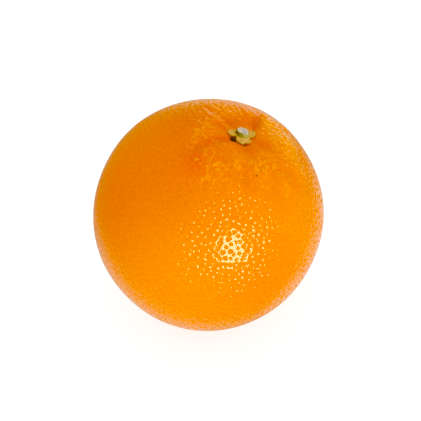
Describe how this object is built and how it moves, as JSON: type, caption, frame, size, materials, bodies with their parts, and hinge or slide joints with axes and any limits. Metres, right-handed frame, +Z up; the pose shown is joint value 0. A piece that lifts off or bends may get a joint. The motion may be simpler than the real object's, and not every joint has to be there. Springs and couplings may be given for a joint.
{
  "type": "orange",
  "caption": "Whole ripe sweet orange with pored skin, furrowed stem hollow, green-brown calyx and a cut stem stub.",
  "frame": {"origin": "middle of the small flat spot that the fruit rests on", "axes": "+Z up from the surface it rests on; the stem axis leans about 19 degrees from +Z, towards +X and a little +Y"},
  "size_m": [0.0763, 0.0759, 0.0772],
  "materials": {
    "peel": "satin",
    "calyx": "matte",
    "stem": "matte"
  },
  "bodies": {
    "root": {"fruit": "peel", "calyx": "calyx", "stem": "stem"}
  },
  "joints": []
}
